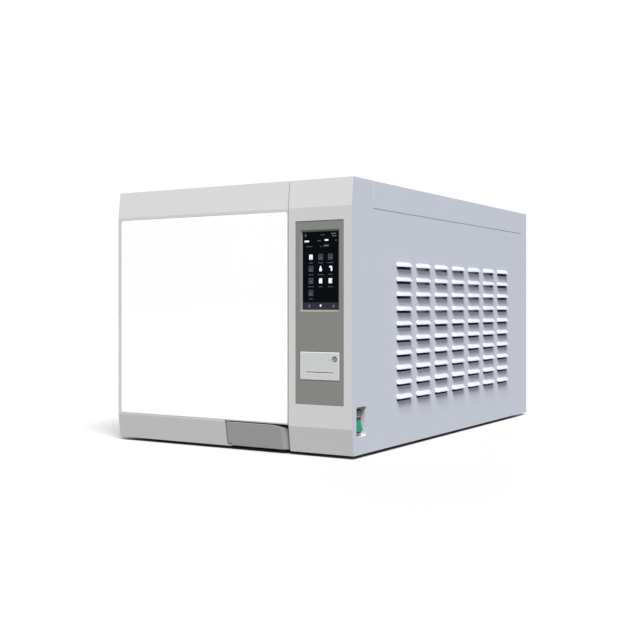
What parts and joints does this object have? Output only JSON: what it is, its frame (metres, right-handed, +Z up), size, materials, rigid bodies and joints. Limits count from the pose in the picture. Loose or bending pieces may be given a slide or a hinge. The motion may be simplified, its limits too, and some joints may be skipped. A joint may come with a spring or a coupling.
{
  "type": "benchtop autoclave",
  "caption": "Front-loading benchtop steam autoclave: louvred case, swinging pressure door with pull handle, control column with touch screen, printer and side power switch.",
  "frame": {"origin": "bottom centre of the whole machine, on the bench", "axes": "+Z up, the door faces -Y, +X is the operator's right, +Y runs to the rear"},
  "size_m": [0.452, 0.72, 0.405],
  "materials": {
    "case_paint": "fine textured powder coat, cool light grey",
    "chassis_steel": "zinc plated and painted sheet",
    "front_moulding": "fine moulded light grey",
    "white_panel": "gloss white",
    "inset_grey": "satin warm grey",
    "screen_glass": "black cover glass",
    "printer_plastic": "light grey moulded",
    "black_plastic": "black moulded",
    "handle_grey": "mid grey moulded",
    "rocker_green": "translucent green",
    "stainless": "brushed stainless",
    "steel": "machined steel",
    "silicone": "silicone rubber",
    "rubber": "black rubber",
    "insulation": "glass-fibre felt",
    "heater_mica": "mica band",
    "brass": "machined brass",
    "copper": "drawn copper",
    "alloy": "cast and extruded alloy",
    "board_green": "circuit board",
    "tank_plastic": "translucent polypropylene",
    "filter_white": "clear white housing",
    "paper": "thermal paper",
    "knob_blue": "blue moulded",
    "knob_red": "red moulded",
    "screw_steel": "plated steel"
  },
  "bodies": {
    "cabinet": {"base_chassis": "chassis_steel", "rubber_feet": "rubber", "front_bulkhead": "chassis_steel", "mouth_frame": "front_moulding", "control_column": "front_moulding", "control_panel": "inset_grey", "touch_display": "screen_glass", "printer_frame": "black_plastic", "switch_body": "black_plastic", "right_side_panel": "case_paint", "left_side_panel": "case_paint", "top_cover": "case_paint", "rear_panel": "case_paint", "chamber_flange": "stainless", "chamber_tube": "stainless", "chamber_end": "stainless", "band_heater": "heater_mica", "insulation_jacket": "insulation", "vessel_saddles": "chassis_steel", "tray_rack": "stainless", "upper_tray": "stainless", "middle_tray": "stainless", "lower_tray": "stainless", "hinge_pin": "steel", "lock_solenoid": "black_plastic", "steam_generator": "stainless", "vacuum_pump": "alloy", "water_pump": "brass", "condenser": "alloy", "fan_frame": "black_plastic", "fan_guard": "steel", "valve_manifold": "brass", "tank_shelf": "chassis_steel", "clean_tank": "tank_plastic", "used_tank": "tank_plastic", "power_supply": "alloy", "control_board": "board_green", "mains_inlet": "black_plastic", "bacteria_filter": "filter_white", "drain_valves": "brass", "steam_pipes": "copper", "safety_valve": "brass", "panel_screws": "screw_steel"},
    "door": {"door_shell": "front_moulding", "door_panel": "white_panel", "door_liner": "front_moulding", "pressure_door": "stainless", "door_gasket": "silicone", "door_yoke": "steel", "handle_pin": "steel"},
    "handle": {"door_handle": "handle_grey"},
    "printer_door": {"printer_door": "printer_plastic"},
    "feed_button": {"feed_button": "black_plastic"},
    "paper_roll": {"paper_roll": "paper"},
    "rocker": {"power_rocker": "rocker_green"},
    "lock_pin": {"lock_pin": "steel"},
    "fan": {"fan_rotor": "black_plastic"},
    "hatch": {"tank_hatch": "case_paint"},
    "clean_knob": {"clean_tap_knob": "knob_blue"},
    "used_knob": {"used_tap_knob": "knob_red"}
  },
  "joints": [
    {"name": "door_swing", "type": "hinge", "parent": "cabinet", "child": "door", "pos_m": [-0.208, -0.33, 0.202], "axis": [0, 0, -1], "range_deg": [0, 105]},
    {"name": "handle_pull", "type": "hinge", "parent": "door", "child": "handle", "pos_m": [0.0004, -0.35104, 0.00551], "axis": [0, 0.1407, -0.9901], "range_deg": [0, 38]},
    {"name": "printer_door_open", "type": "hinge", "parent": "cabinet", "child": "printer_door", "pos_m": [0.1654, -0.3585, 0.1132], "axis": [1, 0, 0], "range_deg": [0, 80]},
    {"name": "feed_button_press", "type": "slide", "parent": "printer_door", "child": "feed_button", "axis": [0, 1, 0], "range_m": [0, 0.0008], "stiffness_N_per_m": 150, "springref_m": -0.001},
    {"name": "paper_roll_spin", "type": "hinge", "parent": "cabinet", "child": "paper_roll", "pos_m": [0.1654, -0.3375, 0.13345], "axis": [1, 0, 0], "continuous": true},
    {"name": "power_switch_tilt", "type": "hinge", "parent": "cabinet", "child": "rocker", "pos_m": [0.212, -0.33255, 0.0525], "axis": [0, 1, 0], "range_deg": [0, 16]},
    {"name": "lock_pin_extend", "type": "slide", "parent": "cabinet", "child": "lock_pin", "axis": [0, -1, 0], "range_m": [0, 0.014]},
    {"name": "fan_spin", "type": "hinge", "parent": "cabinet", "child": "fan", "pos_m": [0.0567, 0.321, 0.29], "axis": [0, 1, 0], "continuous": true},
    {"name": "hatch_lift", "type": "hinge", "parent": "cabinet", "child": "hatch", "pos_m": [0.1651, 0.112, 0.4014], "axis": [-1, 0, 0], "range_deg": [0, 100]},
    {"name": "clean_tap_turn", "type": "hinge", "parent": "cabinet", "child": "clean_knob", "pos_m": [0.1855, 0.354, 0.065], "axis": [0, 1, 0], "range_deg": [0, 90]},
    {"name": "used_tap_turn", "type": "hinge", "parent": "cabinet", "child": "used_knob", "pos_m": [0.1455, 0.354, 0.065], "axis": [0, 1, 0], "range_deg": [0, 90]}
  ]
}
